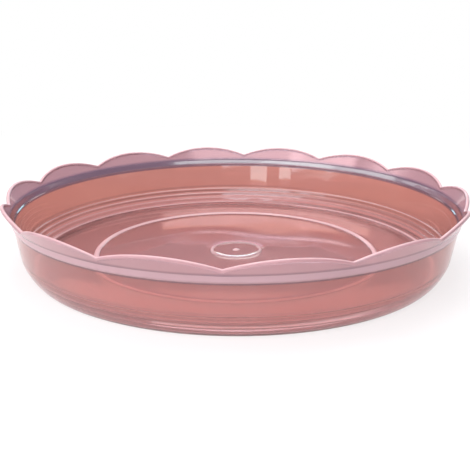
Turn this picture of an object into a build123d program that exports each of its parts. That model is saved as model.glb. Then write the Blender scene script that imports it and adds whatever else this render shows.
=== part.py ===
"""A see-through plant saucer: one moulded piece with a flared, scalloped rim and a stepped inner corner.

The frame stands at the middle of the foot, with +Z up and the middle of a petal on +X.
"""

import os
from math import asin, cos, degrees, pi, radians, sin, tan

from build123d import *

# Overall sizes
saucer_diameter = 255.0
saucer_height = 39.0
wall = 1.3
floor_thickness = 1.2
cut_overrun = 2.0

# Scalloped rim, flared outwards and edged with a lip
petal_count = 14
petal_depth = 5.0
flare_height = 7.2
flare_reach = 3.9
lip_diameter = 2.0
lip_sides = 8

# Stacking shoulder under the rim
band_height = 3.0
band_reach = 0.7
shoulder_step = 0.8

# Side wall, and the steps inside its corner
wall_draft_angle = 9.0
step_count = 3
step_rise = 3.0
step_tread = 0.85
step_draft = 0.6

# Foot
foot_height = 0.5
foot_width = 4.0
foot_reach = 0.25

# Raised rings and the gate mark on the floor
large_ring_diameter = 158.5
large_ring_width = 3.0
large_ring_height = 0.9
small_ring_diameter = 27.9
small_ring_width = 1.8
small_ring_height = 0.5
ring_crest_share = 0.4
gate_mark_diameter = 3.4
gate_mark_height = 0.8

# Heights, from the foot up to the steps and from the rim down to the shoulder
floor_top = foot_height + floor_thickness
steps_top = floor_top + step_count * step_rise
tip_height = saucer_height - lip_diameter / 2
valley_height = tip_height - petal_depth
flare_foot_height = tip_height - flare_height
band_foot_height = flare_foot_height - band_height
shoulder_height = band_foot_height - shoulder_step

# Radii of the wall's middle line, from the petal tips inwards
half_wall = wall / 2
tip_radius = (saucer_diameter - lip_diameter) / 2
flare_foot_radius = tip_radius - flare_reach
band_foot_radius = flare_foot_radius - band_reach
shoulder_radius = band_foot_radius - shoulder_step
steps_top_radius = shoulder_radius - (shoulder_height - steps_top) * tan(radians(wall_draft_angle))
floor_radius = steps_top_radius - half_wall - step_count * (step_tread + step_draft)
foot_radius = floor_radius + foot_reach

# The petals' edge lies on the flare, between a tip and the valleys beside it
half_petal_angle = pi / petal_count
valley_radius = tip_radius - petal_depth * flare_reach / flare_height
valley_x = valley_radius * cos(half_petal_angle)
valley_y = valley_radius * sin(half_petal_angle)
petal_bow = tip_radius - valley_x

os.makedirs("parts", exist_ok=True)


def wall_line(side):
    """Points of the side wall, from the top of the steps up to the petal tips.

    Args:
        side: How far the line lies outside the wall's middle line.

    Returns:
        The points as pairs of radius and height.
    """
    return [
        (steps_top_radius + side, steps_top),
        (shoulder_radius + side, shoulder_height),
        (band_foot_radius + side, band_foot_height),
        (flare_foot_radius + side, flare_foot_height),
        (tip_radius + side, tip_height),
    ]


def step_line():
    """Points of the stepped corner, from the floor's edge up to the top step's nose."""
    points = []
    for step in range(step_count):
        riser_foot_radius = floor_radius + step * (step_tread + step_draft)
        riser_foot_height = floor_top + step * step_rise
        points.append((riser_foot_radius, riser_foot_height))
        points.append((riser_foot_radius + step_draft, riser_foot_height + step_rise))
    return points


def ridge_line(diameter, width, height):
    """Closed outline of a low ridge on the floor, with sloping sides and a flat crest."""
    middle = diameter / 2
    half_crest = width * ring_crest_share / 2
    return [
        (middle - width / 2, floor_top),
        (middle - half_crest, floor_top + height),
        (middle + half_crest, floor_top + height),
        (middle + width / 2, floor_top),
        (middle - width / 2, floor_top),
    ]


def tip_plane(lean):
    """Plane at a petal's tip whose Y axis is the given lean and whose X axis runs along the rim."""
    return Plane(origin=(tip_radius, 0, tip_height), x_dir=(0, 1, 0), z_dir=(lean.Z, 0, -lean.X))


# Tool that cuts one petal's curved edge, square to the flare
flare_plane = tip_plane(Vector(flare_reach, 0, flare_height).normalized())
valley_on_flare = flare_plane.to_local_coords(Vector(valley_x, valley_y, valley_height))
cutter_reach = valley_on_flare.X - valley_on_flare.Y + cut_overrun

with BuildPart() as petal_cutter:
    with BuildSketch(flare_plane):
        with BuildLine():
            valley_right = (valley_on_flare.X, valley_on_flare.Y)
            valley_left = (-valley_on_flare.X, valley_on_flare.Y)
            ThreePointArc(valley_left, (0, 0), valley_right)
            Polyline(valley_right, (cutter_reach, cut_overrun), (-cutter_reach, cut_overrun), valley_left)
        make_face()
    extrude(amount=petal_bow + wall + cut_overrun, both=True)

# Lip of one petal, run past its valleys and mitred there against the next petal's lip
petal_rise = Vector(petal_bow, 0, petal_depth)
lip_radius = (valley_y**2 + petal_rise.length**2) / (2 * petal_rise.length)
lip_half_angle = degrees(asin((valley_y + lip_diameter) / lip_radius))
lip_plane = tip_plane(petal_rise.normalized())

with BuildPart() as petal_lip:
    with BuildLine(lip_plane) as lip_line:
        CenterArc((0, -lip_radius), lip_radius, 90 - lip_half_angle, 2 * lip_half_angle)
    with BuildSketch(Plane(origin=lip_line.line @ 0, x_dir=lip_plane.z_dir, z_dir=lip_line.line % 0)):
        RegularPolygon(lip_diameter / 2, lip_sides, major_radius=False, rotation=180 / lip_sides)
    sweep()
    for side in (-1, 1):
        mitre_normal = (-sin(half_petal_angle), side * cos(half_petal_angle), 0)
        split(bisect_by=Plane(origin=(0, 0, 0), z_dir=mitre_normal), keep=Keep.BOTTOM)

with BuildPart() as saucer:
    # Foot, floor, stepped corner, wall, shoulder and flare, turned as one section
    with BuildSketch(Plane.XZ):
        with BuildLine():
            outer_wall = wall_line(half_wall)
            inner_wall = wall_line(-half_wall)
            corner_start = Vector(*outer_wall[0])
            TangentArc(corner_start, (foot_radius, 0), tangent=corner_start - Vector(*outer_wall[1]))
            Polyline(
                (foot_radius, 0),
                (foot_radius - foot_width, 0),
                (foot_radius - foot_width, foot_height),
                (0, foot_height),
                (0, floor_top),
                *step_line(),
                *inner_wall,
                *reversed(outer_wall),
            )
        make_face()
    revolve(axis=Axis.Z)

    # Raised rings on the floor, and the mark of the moulding gate in its middle
    with BuildSketch(Plane.XZ):
        with BuildLine():
            Polyline(*ridge_line(large_ring_diameter, large_ring_width, large_ring_height))
        make_face()
        with BuildLine():
            Polyline(*ridge_line(small_ring_diameter, small_ring_width, small_ring_height))
        make_face()
        with BuildLine():
            mark_top = (0, floor_top + gate_mark_height)
            mark_edge = (gate_mark_diameter / 2, floor_top)
            TangentArc(mark_top, mark_edge, tangent=(1, 0))
            Polyline(mark_edge, (0, floor_top), mark_top)
        make_face()
    revolve(axis=Axis.Z)

    # Petals cut out of the flare, and their lips
    with PolarLocations(0, petal_count):
        add(petal_cutter.part, mode=Mode.SUBTRACT)
    with PolarLocations(0, petal_count):
        add(petal_lip.part)

saucer.part.label = "saucer"
export_step(saucer.part, "parts/saucer.step")
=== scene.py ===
"""Dresses the plant saucer: a see-through moulded dish with a scalloped rim, on a pale studio floor.

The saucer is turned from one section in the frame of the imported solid: metres, +Z up, the origin at the
middle of the foot and the middle of a petal on +X.
"""

import logging
import math
from dataclasses import dataclass, field
from enum import Enum
from typing import Union

import bmesh
import bpy
from mathutils import Matrix, Vector


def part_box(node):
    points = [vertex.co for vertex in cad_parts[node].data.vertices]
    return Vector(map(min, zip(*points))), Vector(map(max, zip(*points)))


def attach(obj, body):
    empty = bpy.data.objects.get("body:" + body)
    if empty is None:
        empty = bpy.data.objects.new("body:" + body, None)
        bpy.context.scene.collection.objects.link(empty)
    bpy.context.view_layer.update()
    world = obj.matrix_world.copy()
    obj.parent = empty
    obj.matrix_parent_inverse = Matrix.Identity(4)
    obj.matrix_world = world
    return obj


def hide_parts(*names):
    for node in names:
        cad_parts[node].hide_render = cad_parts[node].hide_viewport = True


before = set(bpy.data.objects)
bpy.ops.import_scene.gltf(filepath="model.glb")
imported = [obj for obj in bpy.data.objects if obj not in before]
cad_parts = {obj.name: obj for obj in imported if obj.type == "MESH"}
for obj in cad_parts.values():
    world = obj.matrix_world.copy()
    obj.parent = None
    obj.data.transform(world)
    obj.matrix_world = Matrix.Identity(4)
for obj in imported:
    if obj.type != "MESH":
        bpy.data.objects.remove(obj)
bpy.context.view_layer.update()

log = logging.getLogger("plant_saucer")

MM = 0.001
# Vertex mark of pale haze: scuffs, with painted highlights on the rings, the gate mark, the lip's top and
# the step lines.
WEAR_AND_HIGHLIGHT = "wear_and_highlight"
# Vertex mark of painted shade: dark lines on the wall foot, risers, noses and the floor's corner.
PAINTED_SHADE = "painted_shade"
INSIDE = "inside"
NOISE_ROUGHNESS = 0.55
Colour = tuple[float, float, float]
Number = Union[float, "Wire"]

ROSE: Colour = (1.0, 0.78, 0.8)
SILVER: Colour = (0.93, 1.0, 0.97)
PANE_BLUE: Colour = (0.82, 1.0, 1.0)
SILL_BLUE: Colour = (0.7, 0.88, 1.0)


class Side(Enum):
    """The two faces of the saucer's wall, as the sign of their offset from its middle line."""

    OUTER = 1
    INNER = -1


class Ray(Enum):
    """Kinds of ray that see the studio's own white."""

    CAMERA = "Is Camera Ray"
    GLOSSY = "Is Glossy Ray"
    TRANSMISSION = "Is Transmission Ray"


@dataclass
class Wire:
    """One output socket of a node tree, with operators that add Math nodes."""

    tree: "NodeTree"
    socket: bpy.types.NodeSocket

    def __add__(self, other: Number) -> "Wire":
        """Sum of two values."""
        return self.tree.math("ADD", self, other)

    def __radd__(self, other: Number) -> "Wire":
        """Sum with a number on the left."""
        return self.tree.math("ADD", other, self)

    def __sub__(self, other: Number) -> "Wire":
        """Difference of two values."""
        return self.tree.math("SUBTRACT", self, other)

    def __rsub__(self, other: Number) -> "Wire":
        """Difference from a number on the left."""
        return self.tree.math("SUBTRACT", other, self)

    def __mul__(self, other: Number) -> "Wire":
        """Product of two values."""
        return self.tree.math("MULTIPLY", self, other)

    def __rmul__(self, other: Number) -> "Wire":
        """Product with a number on the left."""
        return self.tree.math("MULTIPLY", other, self)

    def larger(self, other: Number) -> "Wire":
        """The larger of two values."""
        return self.tree.math("MAXIMUM", self, other)


@dataclass
class NodeTree:
    """The node tree of a material, a lamp or the world, emptied and ready to be filled."""

    owner: Union[bpy.types.Material, bpy.types.Light, bpy.types.World]

    def __post_init__(self) -> None:
        """Turns nodes on and clears what is there."""
        self.owner.use_nodes = True
        self.owner.node_tree.nodes.clear()

    def node(self, kind: str, settings: dict | None = None, sockets: dict | None = None) -> bpy.types.Node:
        """Adds a node.

        Args:
            kind: The node's type name.
            settings: Properties of the node, set first. Ramp stops are given as "stops".
            sockets: Values or wires for its inputs, by name or number.

        Returns:
            The new node.
        """
        made = self.owner.node_tree.nodes.new(kind)
        for name, value in (settings or {}).items():
            if name == "stops":
                self._set_stops(made.color_ramp, value)
            else:
                setattr(made, name, value)
        for name, value in (sockets or {}).items():
            self._feed(self._find(made.inputs, name), value)
        return made

    def wire(
        self, kind: str, output: str, settings: dict | None = None, sockets: dict | None = None
    ) -> Wire:
        """Adds a node and returns one of its outputs as a wire."""
        return Wire(self, self._find(self.node(kind, settings, sockets).outputs, output))

    def math(self, operation: str, first: Number, second: Number) -> Wire:
        """Adds a Math node for two values."""
        return self.wire("ShaderNodeMath", "Value", {"operation": operation}, {0: first, 1: second})

    @staticmethod
    def _find(sockets: bpy.types.bpy_prop_collection, key: Union[int, str]) -> bpy.types.NodeSocket:
        """Finds a socket by its number, its identifier or its name."""
        if isinstance(key, int):
            return sockets[key]
        return next(socket for socket in sockets if key in (socket.identifier, socket.name))

    def ramp(self, value: Wire, low: float, high: float) -> Wire:
        """Rises smoothly from 0 where a value is low to 1 where it is high."""
        return self.wire(
            "ShaderNodeMapRange",
            "Result",
            {"interpolation_type": "SMOOTHSTEP"},
            {"Value": value, "From Min": low, "From Max": high},
        )

    def noise(self, place: Wire, size: float, detail: float) -> Wire:
        """Soft noise from 0 to 1.

        Args:
            place: The coordinates that it lies on.
            size: Length of its largest patches.
            detail: How many finer layers it has.

        Returns:
            The noise's value.
        """
        return self.wire(
            "ShaderNodeTexNoise",
            "Fac",
            sockets={"Vector": place, "Scale": 1 / size, "Detail": detail, "Roughness": NOISE_ROUGHNESS},
        )

    def between(self, share: Wire, low: float, high: float) -> Wire:
        """Goes from one number to another as a share goes from 0 to 1."""
        return share * (high - low) + low

    def mix(self, share: Wire, first: Union[Colour, Wire], second: Union[Colour, Wire]) -> Wire:
        """Goes from one colour to another as a share goes from 0 to 1."""
        ends = [colour if isinstance(colour, Wire) else (*colour, 1.0) for colour in (first, second)]
        return self.wire(
            "ShaderNodeMix",
            "Result_Color",
            {"data_type": "RGBA"},
            {"Factor_Float": share, "A_Color": ends[0], "B_Color": ends[1]},
        )

    def _feed(self, socket: bpy.types.NodeSocket, value: Union[Number, tuple]) -> None:
        """Links a wire to a socket, or sets the socket's own value."""
        if isinstance(value, Wire):
            self.owner.node_tree.links.new(value.socket, socket)
        else:
            socket.default_value = value

    @staticmethod
    def _set_stops(ramp: bpy.types.ColorRamp, stops: list[tuple[float, Colour]]) -> None:
        """Replaces a ramp's stops.

        Args:
            ramp: The ramp to fill.
            stops: Pairs of place and colour, in order.
        """
        while len(ramp.elements) > 1:
            ramp.elements.remove(ramp.elements[-1])
        for number, (place, colour) in enumerate(stops):
            stop = ramp.elements[0] if number == 0 else ramp.elements.new(place)
            stop.position = place
            stop.color = (*colour, 1.0)


@dataclass(frozen=True)
class ClearPlastic:
    """Clear moulded plastic with a rose cast, a little haze, rubbed edges, painted highlights and painted
    shade.

    Attributes:
        floor: What the floor lets through.
        rose: What the wall lets through.
        line: What the shoulder lets through, darkened as painted shade for the dark line at the shoulder.
        mauve: What the band above the shoulder lets through, darkened as painted shade for the dim light
            that the band bends.
        pale: What the petals let through.
        haze_and_highlight: Colour of the haze, of the rubbed edges and of the painted highlights.
        shade_paint: What the plastic lets through along the painted shade lines.
        clarity: Share of the clear plastic that is see-through.
        refraction: Refractive index of the plastic.
        gloss: Least and most roughness of the clear plastic.
        band_refraction: Refractive index of the sheen on the band's inner face.
        band_roughness: Roughness of that sheen.
        floor_top: Height up to which the floor's tint goes.
        wall_foot: Height from which the wall's tint goes.
        line_foot: Height from which the shoulder's painted shade goes.
        band_foot: Height from which the band's painted shade and sheen go.
        band_top: Height up to which the band's painted shade goes.
        petal_foot: Height from which the petals' tint goes.
        top: Height that the tints are spread over.
        edge: Height over which two tints meet.
        coat_top: Height up to which the band's sheen goes.
        cloud_size: Length of the patches of haze.
        haze: Least and most share of haze.
        rim_haze: Share of haze that the petals add.
        wear_and_highlight_haze: Share of haze at the strongest wear and painted highlights.
        rubbed_roughness: Roughness of the haze, of the rubbed edges and of the painted highlights.
        ripple_size: Length of the ripples in the surface.
        ripple_depth: Depth of the ripples.
    """

    floor: Colour = (0.60, 0.268, 0.255)
    rose: Colour = (0.565, 0.225, 0.182)
    line: Colour = (0.2, 0.085, 0.115)
    mauve: Colour = (0.20, 0.12, 0.195)
    pale: Colour = (0.50, 0.28, 0.325)
    haze_and_highlight: Colour = (0.86, 0.59, 0.61)
    shade_paint: Colour = (0.08, 0.028, 0.028)
    clarity: float = 0.94
    refraction: float = 1.52
    gloss: tuple[float, float] = (0.02, 0.07)
    band_refraction: float = 2.2
    band_roughness: float = 0.17
    floor_top: float = 2.6 * MM
    wall_foot: float = 10.7 * MM
    line_foot: float = 26.4 * MM
    band_foot: float = 27.5 * MM
    band_top: float = 31.4 * MM
    petal_foot: float = 32.4 * MM
    top: float = 39.0 * MM
    edge: float = 0.5 * MM
    coat_top: float = 31.4 * MM
    cloud_size: float = 35.0 * MM
    haze: tuple[float, float] = (0.01, 0.07)
    rim_haze: float = 0.09
    wear_and_highlight_haze: float = 0.85
    rubbed_roughness: float = 0.42
    ripple_size: float = 14.0 * MM
    ripple_depth: float = 0.002 * MM

    def make(self) -> bpy.types.Material:
        """Builds the material and returns it."""
        material = bpy.data.materials.new("clear_plastic")
        tree = NodeTree(material)
        place = tree.wire("ShaderNodeTexCoord", "Object")
        height = tree.wire("ShaderNodeSeparateXYZ", "Z", sockets={0: place})
        rim = tree.ramp(height, self.band_top, self.petal_foot)
        band = tree.ramp(height, self.band_foot, self.band_foot + self.edge) - tree.ramp(
            height, self.coat_top - self.edge, self.coat_top
        )
        # The shoulder's dark stops are painted shade, for the dark line at the shoulder.
        stops = [
            (self.floor_top, self.floor),
            (self.wall_foot, self.rose),
            (self.line_foot - self.edge, self.rose),
            (self.line_foot, self.line),
            (self.band_foot, self.line),
            (self.band_foot + self.edge, self.mauve),
            (self.band_top - self.edge, self.mauve),
            (self.petal_foot, self.pale),
        ]
        # The band's dark mauve stops are painted shade.
        tint = tree.wire(
            "ShaderNodeValToRGB",
            "Color",
            {"stops": [(stop / self.top, colour) for stop, colour in stops]},
            {0: height * (1 / self.top)},
        )
        cloud = tree.noise(place, self.cloud_size, detail=3.0)
        ripple = tree.wire(
            "ShaderNodeBump",
            "Normal",
            sockets={
                "Height": tree.noise(place, self.ripple_size, detail=1.0),
                "Distance": self.ripple_depth,
            },
        )
        # Pale haze from scuffs and from painted highlights on the rings, the gate mark, the lip's top and
        # the step lines.
        wear_and_highlight = tree.wire("ShaderNodeAttribute", "Fac", {"attribute_name": WEAR_AND_HIGHLIGHT})
        painted_shade = tree.wire("ShaderNodeAttribute", "Fac", {"attribute_name": PAINTED_SHADE})
        inside = tree.wire("ShaderNodeAttribute", "Fac", {"attribute_name": INSIDE})
        # The base colour turns to the dark tint along the painted shade lines.
        clear = tree.wire(
            "ShaderNodeBsdfPrincipled",
            "BSDF",
            sockets={
                "Base Color": tree.mix(painted_shade, tint, self.shade_paint),
                "Roughness": tree.between(cloud, *self.gloss),
                "IOR": self.refraction,
                "Transmission Weight": self.clarity,
                "Coat Weight": band * inside,
                "Coat IOR": self.band_refraction,
                "Coat Roughness": self.band_roughness,
                "Normal": ripple,
            },
        )
        hazy = tree.wire(
            "ShaderNodeBsdfPrincipled",
            "BSDF",
            sockets={"Base Color": (*self.haze_and_highlight, 1.0), "Roughness": self.rubbed_roughness},
        )
        # Haze grows with the cloud noise, on the petals, on scuffs and along the painted highlights.
        haze = tree.between(cloud, *self.haze) + rim * self.rim_haze + wear_and_highlight * self.wear_and_highlight_haze
        surface = tree.wire("ShaderNodeMixShader", "Shader", sockets={0: haze, 1: clear, 2: hazy})
        tree.node("ShaderNodeOutputMaterial", sockets={"Surface": surface})
        return material


@dataclass(frozen=True)
class StudioWhite:
    """Matt white that keeps a shadow near the saucer, and shows plain white to the rays that look at it.

    Attributes:
        white: The matt colour.
        shown_share: Share of plain white shown beside the saucer.
        shadow_reach: Distances between which that share rises to 1.
    """

    white: Colour = (0.95, 0.95, 0.95)
    shown_share: float = 0.7
    shadow_reach: tuple[float, float] = (0.2, 0.5)

    def make(self) -> bpy.types.Material:
        """Builds the material and returns it."""
        material = bpy.data.materials.new("studio_white")
        tree = NodeTree(material)
        path = tree.node("ShaderNodeLightPath")
        camera, glossy, transmission = (Wire(tree, path.outputs[ray.value]) for ray in Ray)
        looked_at = camera.larger(glossy).larger(transmission)
        place = tree.wire("ShaderNodeTexCoord", "Object")
        distance = tree.wire("ShaderNodeVectorMath", "Value", {"operation": "LENGTH"}, {0: place})
        away = tree.ramp(distance, *self.shadow_reach)
        matt = tree.wire("ShaderNodeBsdfDiffuse", "BSDF", sockets={"Color": (*self.white, 1.0)})
        glow = tree.wire("ShaderNodeEmission", "Emission", sockets={"Color": (1.0, 1.0, 1.0, 1.0)})
        shown = looked_at * tree.between(away, self.shown_share, 1.0)
        mixed = tree.wire("ShaderNodeMixShader", "Shader", sockets={0: shown, 1: matt, 2: glow})
        tree.node("ShaderNodeOutputMaterial", sockets={"Surface": mixed})
        return material


@dataclass
class Corner:
    """One corner of the saucer's section.

    Attributes:
        radius: Distance from the saucer's axis.
        height: Height above the surface that the saucer stands on.
        run: How far its rounding reaches along both sides; zero leaves it sharp.
        segments: Number of straight pieces in the rounding.
    """

    radius: float
    height: float
    run: float = 0.0
    segments: int = 4


@dataclass(frozen=True)
class StepLine:
    """A line round the stepped corner: painted highlight in pale haze, painted shade in a dark tint.

    Attributes:
        place: Where it runs, as radius and height.
        reach: How far it fades out to both sides.
        left: Its strength on the side of -X.
        right: Its strength on the side of +X.
    """

    place: Vector
    reach: float
    left: float
    right: float

    def at(self, place: Vector, side: float) -> float:
        """The line's strength at a place of the section.

        Args:
            place: Radius and height.
            side: Share of the way from the left to the right side.

        Returns:
            The strength from 0 to 1.
        """
        most = self.left + (self.right - self.left) * side
        return max(0.0, most * (1 - (place - self.place).length / self.reach))


@dataclass
class Saucer:
    """The saucer, moulded in one piece: foot, floor, stepped corner, wall, shoulder and scalloped rim."""

    tip_radius: float
    tip_height: float
    lip_radius: float = 1.0 * MM
    wall: float = 1.3 * MM
    floor_thickness: float = 1.2 * MM
    petal_count: int = 14
    petal_depth: float = 5.0 * MM
    flare_height: float = 7.2 * MM
    flare_reach: float = 3.9 * MM
    band_height: float = 3.0 * MM
    band_reach: float = 0.7 * MM
    shoulder_step: float = 0.8 * MM
    wall_draft: float = math.radians(9.0)
    step_count: int = 3
    step_rise: float = 3.0 * MM
    step_tread: float = 0.85 * MM
    step_draft: float = 0.6 * MM
    foot_height: float = 0.5 * MM
    foot_width: float = 4.0 * MM
    foot_reach: float = 0.25 * MM
    large_ring: tuple[float, float, float] = (79.25 * MM, 3.0 * MM, 0.9 * MM)
    small_ring: tuple[float, float, float] = (13.95 * MM, 1.8 * MM, 0.5 * MM)
    ring_crest_share: float = 0.4
    gate_mark_radius: float = 1.7 * MM
    gate_mark_height: float = 0.8 * MM
    shoulder_rounding: float = 0.25 * MM
    band_rounding: float = 0.4 * MM
    flare_rounding: float = 0.5 * MM
    neck_rounding: float = 0.2 * MM
    foot_inner_rounding: float = 0.2 * MM
    foot_outer_rounding: float = 0.3 * MM
    step_foot_rounding: float = 0.4 * MM
    nose_rounding: float = 0.7 * MM
    corner_share: float = 0.93
    ring_side_share: float = 0.48
    ring_crest_rounding_share: float = 0.96
    corner_segments: int = 24
    fine_segments: int = 5
    lip_shift_rounds: int = 4
    columns_per_petal: int = 28
    lip_segments: int = 14
    longest_run: float = 4.2 * MM
    wall_run: float = 9.0 * MM
    merge_distance: float = 0.002 * MM
    sharp_angle: float = math.radians(50.0)
    shortest_run: float = 0.5 * MM
    under_run: float = 12.0 * MM
    hold_run: float = 0.25 * MM
    held_length_share: float = 4.0
    marked_strip: float = 5.0 * MM
    # Reach of the step lines, places of the painted highlight lines near the floor's edge and height of the
    # painted shade line on the wall.
    line_reach: float = 0.9 * MM
    edge_line_reach: float = 1.9 * MM
    left_edge_line: float = 1.7 * MM
    right_edge_line: float = 3.6 * MM
    wall_shade_height: float = 1.3 * MM
    # Span over which the painted highlight and painted shade lines go from their left to their right
    # strength.
    side_start: float = -10.0 * MM
    side_end: float = 50.0 * MM
    # Most pale haze painted as highlight on the rings, the gate mark and the lip's top.
    large_ring_highlight: float = 0.7
    small_ring_highlight: float = 0.42
    ring_highlight_slope: float = 3.0
    gate_mark_highlight: float = 0.75
    lip_highlight: float = 0.7
    lip_reach_share: float = 1.02
    wall_scuff: float = 0.1
    band_scuff: float = 0.48
    petal_scuff: float = 0.22
    warp_height: float = 0.5 * MM
    warp_across: float = 14.6 * MM
    warp_deep: float = 40.0 * MM
    warp_middle: float = 30.0 * MM
    pieces: list[bpy.types.Object] = field(default_factory=list)

    @classmethod
    def from_frame(cls) -> "Saucer":
        """Takes the rim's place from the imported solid's box."""
        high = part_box("saucer")[1]
        return cls(tip_radius=high.x - cls.lip_radius, tip_height=high.z - cls.lip_radius)

    @property
    def floor_top(self) -> float:
        """Height of the floor inside the saucer."""
        return self.foot_height + self.floor_thickness

    @property
    def steps_top(self) -> float:
        """Height of the highest step."""
        return self.floor_top + self.step_count * self.step_rise

    @property
    def flare_foot(self) -> Vector:
        """Middle of the wall where the flare begins, as radius and height."""
        return Vector((self.tip_radius - self.flare_reach, self.tip_height - self.flare_height))

    @property
    def band_foot(self) -> Vector:
        """Middle of the wall at the foot of the band under the flare."""
        return self.flare_foot - Vector((self.band_reach, self.band_height))

    @property
    def shoulder(self) -> Vector:
        """Middle of the wall at the shoulder."""
        return self.band_foot - Vector((self.shoulder_step, self.shoulder_step))

    @property
    def wall_foot(self) -> Vector:
        """Middle of the wall at the height of the highest step."""
        rise = self.shoulder.y - self.steps_top
        return Vector((self.shoulder.x - rise * math.tan(self.wall_draft), self.steps_top))

    @property
    def floor_radius(self) -> float:
        """Radius of the floor at the foot of the lowest step."""
        return self.wall_foot.x - self.wall / 2 - self.step_count * (self.step_tread + self.step_draft)

    def upper_wall(self, side: Side) -> list[Corner]:
        """Corners of one face of the wall, from the shoulder up to the flare's foot."""
        offset = side.value * self.wall / 2
        return [
            Corner(self.shoulder.x + offset, self.shoulder.y, run=self.shoulder_rounding),
            Corner(self.band_foot.x + offset, self.band_foot.y, run=self.band_rounding),
            Corner(self.flare_foot.x + offset, self.flare_foot.y, run=self.flare_rounding),
        ]

    def underside(self) -> list[Corner]:
        """Corners from the middle of the underside round the foot and up the outer wall."""
        foot_radius = self.floor_radius + self.foot_reach
        foot_inside = foot_radius - self.foot_width
        start = Vector((self.wall_foot.x + self.wall / 2, self.steps_top))
        chord = Vector((foot_radius, 0.0)) - start
        chord_angle = math.atan2(-chord.x, -chord.y)
        bend = chord_angle - self.wall_draft
        run = chord.length / 2 / math.cos(bend)
        corner = start + run * Vector((-math.sin(self.wall_draft), -math.cos(self.wall_draft)))
        return [
            Corner(0.0, self.foot_height),
            Corner(foot_inside, self.foot_height, run=self.foot_inner_rounding),
            Corner(foot_inside, 0.0, run=self.foot_inner_rounding),
            Corner(foot_radius, 0.0, run=self.foot_outer_rounding),
            Corner(corner.x, corner.y, run=self.corner_share * run, segments=self.corner_segments),
            *self.upper_wall(Side.OUTER),
        ]

    def stepped_corner(self) -> list[Corner]:
        """Corners of the inside, from the foot of the wall down the steps to the floor's edge."""
        foot = Vector((self.wall_foot.x - self.wall / 2, self.steps_top))
        strip = self.marked_strip * Vector((math.tan(self.wall_draft), 1.0))
        corners = [Corner(*(foot + strip)), Corner(*foot, run=self.step_foot_rounding)]
        for step in reversed(range(self.step_count)):
            radius = self.floor_radius + step * (self.step_tread + self.step_draft)
            height = self.floor_top + step * self.step_rise
            nose = Vector((radius + self.step_draft, height + self.step_rise))
            corners.append(Corner(*nose, run=self.nose_rounding, segments=self.fine_segments))
            corners.append(Corner(radius, height, run=self.step_foot_rounding))
        corners.append(Corner(self.floor_radius - self.marked_strip, self.floor_top))
        return corners

    def floor_ring(self, ring: tuple[float, float, float]) -> list[Corner]:
        """Corners of a raised ring on the floor, from its outer edge inwards."""
        middle, width, height = ring
        half_crest = width * self.ring_crest_share / 2
        run = self.ring_side_share * math.hypot(width / 2 - half_crest, height)
        crest_run = min(run, self.ring_crest_rounding_share * half_crest)
        crest = self.floor_top + height
        return [
            Corner(middle + width / 2, self.floor_top, run, self.fine_segments),
            Corner(middle + half_crest, crest, crest_run, self.fine_segments),
            Corner(middle - half_crest, crest, crest_run, self.fine_segments),
            Corner(middle - width / 2, self.floor_top, run, self.fine_segments),
        ]

    def draw_section(self, bm: bmesh.types.BMesh) -> None:
        """Draws the section as a rounded wire in XZ, from the underside's middle to the gate mark's top.

        Args:
            bm: The empty mesh that takes the wire.
        """
        flare = Vector((self.flare_reach, self.flare_height)).normalized()
        square = Vector((flare.y, -flare.x))
        half_thickness = self.wall / 2 * flare.y
        neck = math.sqrt(self.lip_radius**2 - half_thickness**2)
        lip_middle = Vector((self.tip_radius, self.tip_height))
        lip_start = lip_middle - neck * flare + half_thickness * square
        neck_angle = math.asin(half_thickness / self.lip_radius)

        neck_corner = Corner(*lip_start, run=self.neck_rounding)
        end = self._chain(bm, None, [*self.underside(), neck_corner])
        end = self._arc(bm, end, lip_middle, -(2 * math.pi - 2 * neck_angle), self.lip_segments)
        end = self._chain(
            bm,
            end,
            [
                *reversed(self.upper_wall(Side.INNER)),
                *self.stepped_corner(),
                *self.floor_ring(self.large_ring),
                *self.floor_ring(self.small_ring),
                Corner(self.gate_mark_radius + self.shortest_run, self.floor_top),
                Corner(self.gate_mark_radius, self.floor_top),
            ],
        )
        dome = (self.gate_mark_radius**2 + self.gate_mark_height**2) / (2 * self.gate_mark_height)
        dome_middle = Vector((0.0, self.floor_top + self.gate_mark_height - dome))
        self._arc(bm, end, dome_middle, -math.asin(self.gate_mark_radius / dome), self.fine_segments)

    def _chain(
        self, bm: bmesh.types.BMesh, start: bmesh.types.BMVert | None, corners: list[Corner]
    ) -> bmesh.types.BMVert:
        """Adds a run of corners to the wire and rounds them.

        Args:
            bm: The mesh that holds the wire.
            start: The wire's last vertex, or None to begin it.
            corners: The corners in order.

        Returns:
            The new last vertex.
        """
        vertices = [bm.verts.new((corner.radius, 0.0, corner.height)) for corner in corners]
        joined = vertices if start is None else [start, *vertices]
        for first, second in zip(joined, joined[1:]):
            bm.edges.new((first, second))
        for vertex, corner in zip(vertices[:-1], corners):
            if corner.run:
                bmesh.ops.bevel(
                    bm, geom=[vertex], offset=corner.run, offset_type="ABSOLUTE", segments=corner.segments,
                    profile=0.5, affect="VERTICES", material=-1, clamp_overlap=True,
                )
        return vertices[-1]

    @staticmethod
    def _arc(
        bm: bmesh.types.BMesh, start: bmesh.types.BMVert, middle: Vector, angle: float, steps: int
    ) -> bmesh.types.BMVert:
        """Carries the wire on along an arc.

        Args:
            bm: The mesh that holds the wire.
            start: The wire's last vertex.
            middle: The arc's centre, as radius and height.
            angle: The arc's turn about +Y, in radians.
            steps: Number of straight pieces.

        Returns:
            The new last vertex.
        """
        made = bmesh.ops.spin(
            bm, geom=[start], cent=(middle.x, 0.0, middle.y), axis=(0.0, 1.0, 0.0), angle=angle, steps=steps
        )
        return next(item for item in made["geom_last"] if isinstance(item, bmesh.types.BMVert))

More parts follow.
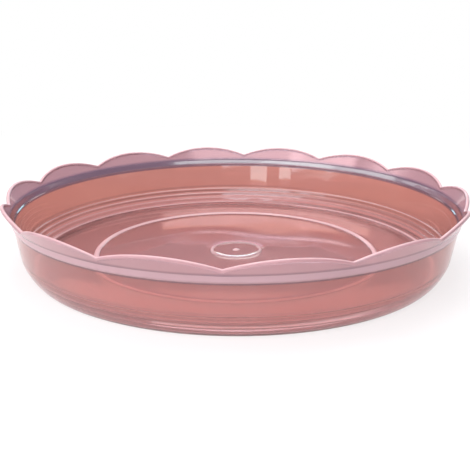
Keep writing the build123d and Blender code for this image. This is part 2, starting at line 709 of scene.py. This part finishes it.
    def on_steps(self, place: Vector) -> bool:
        """Whether a place of the section lies on the stepped corner or on the strips beside it."""
        climbed = (place.y - self.floor_top + self.merge_distance) / self.step_rise
        outermost = self.floor_radius + climbed * (self.step_tread + self.step_draft) + self.step_tread
        innermost = self.floor_radius - self.marked_strip
        return 0 < climbed < self.step_count + 1 and innermost < place.x < outermost

    def hold_runs(self, bm: bmesh.types.BMesh) -> None:
        """Adds a vertex near both ends of the straight runs above the steps, so they shade flat."""
        shortest = self.held_length_share * self.hold_run
        for edge in list(bm.edges):
            length = edge.calc_length()
            lowest = min(vertex.co.z for vertex in edge.verts)
            if length > shortest and lowest > self.steps_top:
                start, end = edge.verts
                rest, _ = bmesh.utils.edge_split(edge, start, self.hold_run / length)
                longer = max(rest, edge, key=bmesh.types.BMEdge.calc_length)
                bmesh.utils.edge_split(longer, end, self.hold_run / longer.calc_length())

    def divide_runs(self, bm: bmesh.types.BMesh) -> None:
        """Divides the wire's long straight runs, finely on the steps, to be shaped and marked."""
        for edge in list(bm.edges):
            middle = (edge.verts[0].co + edge.verts[1].co) / 2
            if self.on_steps(middle.xz):
                longest = self.shortest_run
            elif middle.z < self.floor_top - self.merge_distance and middle.x < self.floor_radius:
                longest = self.under_run
            elif middle.z > self.steps_top:
                longest = self.wall_run
            else:
                longest = self.longest_run
            cuts = int(edge.calc_length() / longest)
            if cuts:
                bmesh.ops.subdivide_edges(bm, edges=[edge], cuts=cuts)

    def turn(self, bm: bmesh.types.BMesh) -> None:
        """Turns the wire about the saucer's axis into a closed skin."""
        bmesh.ops.spin(
            bm, geom=[*bm.verts, *bm.edges], cent=(0.0, 0.0, 0.0), axis=(0.0, 0.0, 1.0), angle=2 * math.pi,
            steps=self.petal_count * self.columns_per_petal, use_merge=True, use_duplicate=False,
        )
        bmesh.ops.remove_doubles(bm, verts=bm.verts, dist=self.merge_distance)
        bmesh.ops.recalc_face_normals(bm, faces=bm.faces)

    def lip_shift(self, angle: float) -> Vector:
        """How far the lip's middle line lies from the petal's tip.

        Args:
            angle: Plan angle about the axis, in radians.

        Returns:
            The change of radius and height.
        """
        half_pitch = math.pi / self.petal_count
        turned = (angle + half_pitch) % (2 * half_pitch) - half_pitch
        valley_radius = self.tip_radius - self.petal_depth * self.flare_reach / self.flare_height
        rise = Vector((self.tip_radius - valley_radius * math.cos(half_pitch), self.petal_depth))
        half_width = valley_radius * math.sin(half_pitch)
        arc_radius = (half_width**2 + rise.length**2) / (2 * rise.length)
        radius = self.tip_radius
        for _ in range(self.lip_shift_rounds):
            sag = arc_radius - math.sqrt(arc_radius**2 - (radius * math.sin(turned)) ** 2)
            radius = (self.tip_radius - sag * rise.x / rise.length) / math.cos(turned)
        return Vector((radius - self.tip_radius, -sag * rise.y / rise.length))

    def scallop(self, bm: bmesh.types.BMesh) -> None:
        """Draws the flare down between the petals, so that its lip follows their edge."""
        flare = Vector((self.flare_reach, self.flare_height))
        lip_share = 1 - self.lip_radius / flare.length
        for vertex in bm.verts:
            radius = vertex.co.to_2d().length
            along = (Vector((radius, vertex.co.z)) - self.flare_foot).dot(flare) / flare.length_squared
            share = min(1.0, along / lip_share)
            if share > 0 and vertex.co.z > self.flare_foot.y - self.band_height / 2:
                shift = share * self.lip_shift(math.atan2(vertex.co.y, vertex.co.x))
                vertex.co.xy *= (radius + shift.x) / radius
                vertex.co.z += shift.y

    def riser_point(self, step: int, share: float) -> Vector:
        """A place on a step's riser, as radius and height.

        Args:
            step: Number of the step, from the floor up.
            share: How far up the riser the place is, from 0 to 1.

        Returns:
            The radius and height.
        """
        foot = Vector((self.floor_radius + step * (self.step_tread + self.step_draft), self.floor_top))
        return foot + Vector((share * self.step_draft, (step + share) * self.step_rise))

    def wear_and_highlight_at(self, place: Vector) -> float:
        """How much pale haze a place of the section gets, from 0 to 1: painted highlight on the rings, the
        gate mark and the lip's top.
        """
        pale_shares = [0.0]
        above = place.y - self.floor_top
        rings = ((self.large_ring, self.large_ring_highlight), (self.small_ring, self.small_ring_highlight))
        for (middle, width, rise), most in rings:
            if abs(place.x - middle) < width / 2:
                pale_shares.append(most * min(1.0, self.ring_highlight_slope * above / rise))
        if place.x < self.gate_mark_radius + self.merge_distance and above > -self.merge_distance:
            pale_shares.append(self.gate_mark_highlight)
        on_lip = (place - Vector((self.tip_radius, self.tip_height))) / self.lip_radius
        if on_lip.length < self.lip_reach_share:
            pale_shares.append(self.lip_highlight * max(0.0, on_lip.y) ** 2)
        return max(pale_shares)

    def scuff_at(self, height: float, outward: float) -> float:
        """How much the outside is scuffed, most of all on the band, where saucers rub in a stack.

        Args:
            height: Height above the surface that the saucer stands on.
            outward: How squarely the surface faces away from the axis, up to 1.

        Returns:
            The share from 0 to 1.
        """
        if height < self.shoulder.y:
            most = self.wall_scuff
        elif height < self.flare_foot.y:
            most = self.band_scuff
        else:
            most = self.petal_scuff
        return max(0.0, outward) * most

    def painted_highlight_lines(self) -> list[StepLine]:
        """Painted highlight lines in pale haze: the steps' noses and the floor near its edge, with
        strengths that change from left to right.
        """
        edge = Vector((self.floor_radius, self.floor_top))
        return [
            StepLine(self.riser_point(2, 1.0), self.line_reach, left=0.5, right=0.45),
            StepLine(self.riser_point(1, 1.0), self.line_reach, left=0.5, right=0.15),
            StepLine(self.riser_point(0, 1.0), self.line_reach, left=0.3, right=0.15),
            StepLine(edge - Vector((self.left_edge_line, 0.0)), self.edge_line_reach, left=0.6, right=0.0),
            StepLine(edge - Vector((self.right_edge_line, 0.0)), self.edge_line_reach, left=0.0, right=0.9),
        ]

    def painted_shade_lines(self) -> list[StepLine]:
        """Painted shade lines on wall and risers, at the right also on noses and in the floor's corner."""
        wall_foot = self.wall_foot + Vector((-self.wall / 2, self.wall_shade_height))
        return [
            StepLine(wall_foot, self.line_reach, left=0.7, right=0.3),
            StepLine(self.riser_point(2, 0.5), self.line_reach, left=1.0, right=0.7),
            StepLine(self.riser_point(1, 1.0), self.line_reach, left=0.0, right=0.6),
            StepLine(self.riser_point(1, 0.6), self.line_reach, left=0.9, right=0.7),
            StepLine(self.riser_point(0, 1.0), self.line_reach, left=0.0, right=0.6),
            StepLine(self.riser_point(0, 0.5), self.line_reach, left=0.6, right=0.0),
            StepLine(self.riser_point(0, 0.1), self.line_reach, left=0.0, right=1.0),
        ]

    def mark_wear_highlight_and_shade(self, bm: bmesh.types.BMesh) -> None:
        """Notes on each vertex its wear and painted highlight, its painted shade and whether it faces
        inwards.
        """
        wear_and_highlight = bm.verts.layers.float.new(WEAR_AND_HIGHLIGHT)
        painted_shade = bm.verts.layers.float.new(PAINTED_SHADE)
        inside = bm.verts.layers.float.new(INSIDE)
        haze_and_highlight, shade_paint = self.painted_highlight_lines(), self.painted_shade_lines()
        bm.normal_update()
        for vertex in bm.verts:
            plan = vertex.co.to_2d()
            place = Vector((plan.length, vertex.co.z))
            outward = vertex.normal.to_2d().dot(plan) / max(plan.length, self.merge_distance)
            side = min(1.0, max(0.0, (plan.x - self.side_start) / (self.side_end - self.side_start)))
            vertex[wear_and_highlight] = max(self.wear_and_highlight_at(place), self.scuff_at(place.y, outward))
            vertex[inside] = float(outward < 0)
            if self.on_steps(place):
                # On the steps, the painted highlight lines add pale haze.
                vertex[wear_and_highlight] = max(vertex[wear_and_highlight], *(line.at(place, side) for line in haze_and_highlight))
                # On the steps, the painted shade lines set how far the tint goes dark.
                vertex[painted_shade] = max(line.at(place, side) for line in shade_paint)

    def warp_floor(self, bm: bmesh.types.BMesh) -> None:
        """Lets the floor's upper face undulate a little inside the large ring."""
        reach = self.large_ring[0] - self.large_ring[1] / 2
        for vertex in bm.verts:
            distance = vertex.co.to_2d().length
            if distance < reach and vertex.co.z > self.floor_top - self.merge_distance:
                hold = (1 - (distance / reach) ** 4) ** 2
                deep = (vertex.co.y - self.warp_middle) / self.warp_deep
                wave = math.sin(vertex.co.x / self.warp_across) * deep * math.exp(-(deep**2))
                vertex.co.z -= self.warp_height * hold * wave

    def build(self) -> None:
        """Models the saucer as one closed mesh."""
        bm = bmesh.new()
        self.draw_section(bm)
        self.hold_runs(bm)
        self.divide_runs(bm)
        self.turn(bm)
        self.mark_wear_highlight_and_shade(bm)
        self.warp_floor(bm)
        self.scallop(bm)
        mesh = bpy.data.meshes.new("saucer_body")
        bm.to_mesh(mesh)
        bm.free()
        mesh.shade_smooth()
        mesh.set_sharp_from_angle(angle=self.sharp_angle)
        body = bpy.data.objects.new("saucer_body", mesh)
        bpy.context.scene.collection.objects.link(body)
        self.pieces.append(body)

    def dress(self, plastic: bpy.types.Material) -> None:
        """Gives the saucer its finish and ties it to the frame.

        Args:
            plastic: The finished plastic.
        """
        for piece in self.pieces:
            piece.data.materials.append(plastic)
            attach(piece, "root")
            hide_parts("saucer")
            mesh = piece.data
            log.info("%s: %d vertices, %d faces", piece.name, len(mesh.vertices), len(mesh.polygons))


@dataclass(frozen=True)
class LightPanel:
    """A flat soft lamp that faces the saucer.

    Attributes:
        name: The lamp's name.
        azimuth: Plan angle of its middle from the camera's side, towards +X, in degrees.
        elevation: Angle of its middle above the floor, in degrees.
        width: Its level side.
        height: Its other side.
        brightness: How bright its face is, where 1 is paper white.
        colour: The light's colour.
        fade: Share of each side over which its light fades out.
        distance: How far it hangs from the saucer.
    """

    name: str
    azimuth: float
    elevation: float
    width: float
    height: float
    brightness: float
    colour: Colour = (1.0, 1.0, 1.0)
    fade: float = 0.0
    distance: float = 1.2

    def hang(self) -> None:
        """Adds the lamp to the scene."""
        lamp = bpy.data.lights.new(self.name, "AREA")
        lamp.shape = "RECTANGLE"
        lamp.size = self.width
        lamp.size_y = self.height
        lamp.color = self.colour
        lamp.energy = self.brightness * math.pi * self.width * self.height
        around, up = math.radians(self.azimuth), math.radians(self.elevation)
        place = self.distance * Vector(
            (math.sin(around) * math.cos(up), -math.cos(around) * math.cos(up), math.sin(up))
        )
        holder = bpy.data.objects.new(self.name, lamp)
        holder.location = place
        holder.rotation_euler = (-place).to_track_quat("-Z", "Y").to_euler()
        holder.visible_camera = False
        bpy.context.scene.collection.objects.link(holder)
        if self.fade:
            self._soften(lamp)
        log.info("%s: brightness %.2f", self.name, self.brightness)

    def _soften(self, lamp: bpy.types.Light) -> None:
        """Lets the lamp's light fade out towards its edges."""
        tree = NodeTree(lamp)
        face = tree.wire("ShaderNodeNewGeometry", "Parametric")
        sides = tree.node("ShaderNodeSeparateXYZ", sockets={0: face})
        across, along = (Wire(tree, sides.outputs[axis]) for axis in ("X", "Y"))
        inside = [
            tree.ramp(side, 0.0, self.fade) * (1 - tree.ramp(side, 1 - self.fade, 1.0))
            for side in (across, along)
        ]
        glow = tree.wire("ShaderNodeEmission", "Emission", sockets={"Strength": inside[0] * inside[1]})
        tree.node("ShaderNodeOutputLight", sockets={"Surface": glow})


@dataclass
class Studio:
    """A pale floor, a soft dome of light and soft panels that the saucer mirrors.

    Attributes:
        floor_radius: Radius of the round floor.
        floor_sides: Number of its sides.
        floor_gap: How far it lies under the saucer, so that the two faces never meet.
        panels: The lamps.
        dome: Colours of the sky, from straight down at 0 to straight up at 1.
    """

    floor_radius: float = 4.0
    floor_sides: int = 96
    floor_gap: float = 0.05 * MM
    panels: tuple[LightPanel, ...] = (
        LightPanel("petal_panel_middle", -4.0, 52.0, 1.3, 0.4, brightness=4.6, colour=ROSE, fade=0.15),
        LightPanel("petal_panel_right", -62.5, 45.0, 0.8, 0.36, brightness=6.8, colour=ROSE, fade=0.15),
        LightPanel("petal_panel_far", -106.0, 34.0, 0.95, 0.36, brightness=4.6, colour=ROSE, fade=0.45),
        LightPanel("band_panel_left", 14.0, 17.3, 1.22, 0.14, brightness=2.9, colour=SILVER),
        LightPanel("band_panel_middle", -37.0, 16.3, 0.98, 0.16, brightness=4.0, colour=SILVER),
        LightPanel("band_panel_right", -82.0, 11.5, 0.96, 0.2, brightness=2.5, colour=SILVER),
        LightPanel("band_panel_far", -122.0, 4.5, 0.78, 0.12, brightness=1.8, colour=SILVER),
        LightPanel("back_wall_panel", 179.3, 13.1, 0.467, 0.13, brightness=5.4, colour=(0.5, 0.86, 1.0)),
        LightPanel("back_band_panel", 179.3, 16.6, 0.467, 0.016, brightness=3.4, colour=(0.75, 1.0, 0.9)),
        LightPanel("back_high_panel", 180.0, 27.0, width=1.3, height=0.26, brightness=2.0, fade=0.15),
        LightPanel("overhead_panel", 180.0, 76.0, width=0.8, height=0.8, brightness=3.0),
        LightPanel("left_pane", -11.8, 6.9, width=0.217, height=0.064, brightness=5.6, colour=PANE_BLUE),
        LightPanel("right_pane", -28.7, 6.7, width=0.154, height=0.064, brightness=5.6, colour=PANE_BLUE),
        LightPanel("wall_panel", -52.0, 5.0, width=0.6, height=0.08, brightness=1.8, fade=0.3),
        LightPanel("sill_panel_left", -10.5, 9.7, 0.98, 0.048, brightness=6.4, colour=SILL_BLUE),
        LightPanel("sill_panel_middle", -44.5, 8.2, 0.485, 0.045, brightness=6.4, colour=SILL_BLUE),
        LightPanel("sill_panel_right", -61.0, 6.7, 0.21, 0.028, brightness=5.4, colour=SILL_BLUE),
    )
    dome: tuple[tuple[float, Colour], ...] = (
        (0.0, (1.0, 1.0, 1.0)),
        (0.527, (1.0, 1.0, 1.0)),
        (0.537, (0.38, 0.34, 0.40)),
        (0.565, (0.25, 0.23, 0.29)),
        (0.66, (0.25, 0.24, 0.31)),
        (0.76, (0.42, 0.43, 0.50)),
        (0.86, (0.60, 0.60, 0.63)),
        (1.0, (0.70, 0.70, 0.70)),
    )

    def build(self) -> None:
        """Lays the floor, and sets the world and the lamps."""
        self._lay_floor()
        self._set_world()
        for panel in self.panels:
            panel.hang()

    def _lay_floor(self) -> None:
        """Lays a round floor under the saucer."""
        bm = bmesh.new()
        bmesh.ops.create_circle(
            bm, cap_ends=True, segments=self.floor_sides, radius=self.floor_radius,
            matrix=Matrix.Translation((0.0, 0.0, -self.floor_gap)),
        )
        mesh = bpy.data.meshes.new("studio_floor")
        bm.to_mesh(mesh)
        bm.free()
        mesh.materials.append(StudioWhite().make())
        floor = bpy.data.objects.new("studio_floor", mesh)
        bpy.context.scene.collection.objects.link(floor)

    def _set_world(self) -> None:
        """Makes the dome: white at the horizon, dimmer above it and bright overhead."""
        world = bpy.data.worlds.new("studio_dome")
        bpy.context.scene.world = world
        tree = NodeTree(world)
        direction = tree.wire("ShaderNodeTexCoord", "Generated")
        up = tree.wire("ShaderNodeSeparateXYZ", "Z", sockets={0: direction})
        dome = tree.wire(
            "ShaderNodeValToRGB",
            "Color",
            {"stops": self.dome},
            {0: up * 0.5 + 0.5},
        )
        light = tree.wire("ShaderNodeBackground", "Background", sockets={"Color": dome, "Strength": 1.0})
        tree.node("ShaderNodeOutputWorld", sockets={"Surface": light})


@dataclass(frozen=True)
class PhotoCamera:
    """The camera at the photograph's viewing angle, for a square picture."""

    picture_px: float = 470.0
    focal_px: float = 723.2
    sensor: float = 36.0
    turn: float = math.radians(2.56)
    stand_off: float = 397.0 * MM
    eye_height: float = 132.3 * MM
    aim_height: float = 10.5 * MM
    aim_side: float = -0.6 * MM
    roll: float = math.radians(0.155)

    def build(self) -> None:
        """Sets the camera up and makes it the scene's own."""
        lens = bpy.data.cameras.new("photo_camera")
        lens.sensor_width = self.sensor
        lens.lens = self.focal_px / self.picture_px * self.sensor
        plan = Matrix.Rotation(self.turn, 4, "Z")
        eye = plan @ Vector((0.0, -self.stand_off, self.eye_height))
        aim = plan @ Vector((self.aim_side, 0.0, self.aim_height))
        level = (aim - eye).to_track_quat("-Z", "Y").to_matrix().to_4x4()
        holder = bpy.data.objects.new("photo_camera", lens)
        holder.matrix_world = Matrix.Translation(eye) @ level @ Matrix.Rotation(self.roll, 4, "Z")
        bpy.context.scene.collection.objects.link(holder)
        bpy.context.scene.camera = holder


def main() -> None:
    """Builds the saucer and its studio, in order."""
    logging.basicConfig(level=logging.INFO, format="%(name)s %(message)s")
    bpy.context.scene.view_settings.view_transform = "Standard"
    saucer = Saucer.from_frame()
    saucer.build()
    saucer.dress(ClearPlastic().make())
    Studio().build()
    PhotoCamera().build()


if __name__ == "__main__":
    main()
